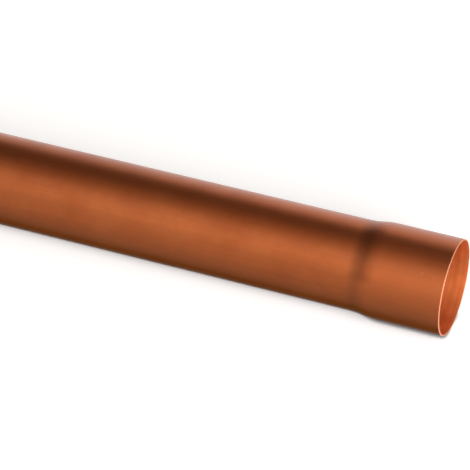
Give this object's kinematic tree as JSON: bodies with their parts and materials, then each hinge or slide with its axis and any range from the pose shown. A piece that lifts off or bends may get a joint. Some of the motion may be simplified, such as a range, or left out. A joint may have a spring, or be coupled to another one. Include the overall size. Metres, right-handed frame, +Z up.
{
  "type": "downspout pipe",
  "caption": "Straight round copper downspout pipe with a plain cut end and a socket at the other end that takes the next pipe.",
  "frame": {"origin": "on the floor under the middle of the pipe's length, at the centre of the bounding box's bottom face", "axes": "+X along the pipe, from the plain end to the socket's mouth; +Z up; the pipe's axis is level, 40.3 mm above the origin"},
  "size_m": [1, 0.0806, 0.0805],
  "materials": {
    "copper": "satin"
  },
  "bodies": {
    "root": {"pipe": "copper"}
  },
  "joints": []
}
